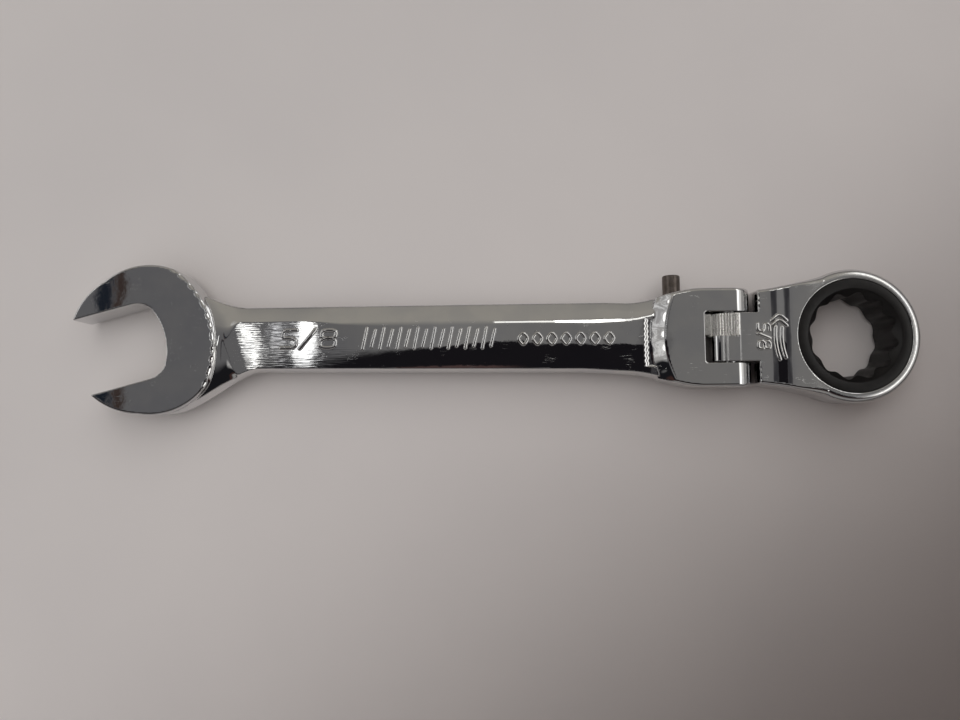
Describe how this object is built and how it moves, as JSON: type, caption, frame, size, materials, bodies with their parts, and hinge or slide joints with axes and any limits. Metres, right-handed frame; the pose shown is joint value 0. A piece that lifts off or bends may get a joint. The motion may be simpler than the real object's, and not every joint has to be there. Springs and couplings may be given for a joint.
{
  "type": "ratchet wrench",
  "caption": "Combination wrench with an open end, a hinged ratchet ring and a side button that locks the hinge.",
  "frame": {"origin": "centre of the ring socket, halfway through the thickness of the ring", "axes": "+X along the wrench, from the open end to the ring; +Y towards the side that the lock button stands out of; +Z out of the upper face"},
  "size_m": [0.1761, 0.0313, 0.0104],
  "materials": {
    "polished_chrome": "polished, with faint lines along the handle",
    "black_gear": "black oxide, satin",
    "button_steel": "dark brown oxide, satin",
    "pin_steel": "ground",
    "pawl_steel": "machined",
    "spring_steel": "drawn wire"
  },
  "bodies": {
    "handle": {"handle": "polished_chrome", "hinge_pin": "pin_steel", "lock_button_spring": "spring_steel"},
    "ratchet_head": {"ratchet_head": "polished_chrome", "gear_retaining_ring": "spring_steel", "pawl_spring": "spring_steel"},
    "ring_gear": {"ring_gear": "black_gear"},
    "pawl": {"pawl": "pawl_steel"},
    "lock_button": {"lock_button": "button_steel"},
    "lock_plunger": {"lock_plunger": "pawl_steel"}
  },
  "joints": [
    {"name": "head_tilt", "type": "hinge", "parent": "handle", "child": "ratchet_head", "pos_m": [-0.0245, 0, 0], "axis": [0, 1, 0], "range_deg": [-90, 90]},
    {"name": "gear_spin", "type": "hinge", "parent": "ratchet_head", "child": "ring_gear", "pos_m": [0, 0, 0], "axis": [0, 0, 1], "continuous": true},
    {"name": "pawl_slide", "type": "slide", "parent": "ratchet_head", "child": "pawl", "axis": [-1, 0, 0], "range_m": [0, 0.00055], "stiffness_N_per_m": 600, "springref_m": -0.0015, "deforming": ["pawl_spring"]},
    {"name": "lock_button_press", "type": "slide", "parent": "handle", "child": "lock_button", "axis": [0, -1, 0], "range_m": [0, 0.0034], "stiffness_N_per_m": 900, "springref_m": -0.003, "deforming": ["lock_button_spring"]},
    {"name": "lock_plunger_slide", "type": "slide", "parent": "handle", "child": "lock_plunger", "axis": [-1, 0, 0], "range_m": [0, 0.00075]}
  ],
  "couplings": [
    {"joint": "lock_plunger_slide", "follows": "lock_button_press", "ratio": 0.2205}
  ]
}
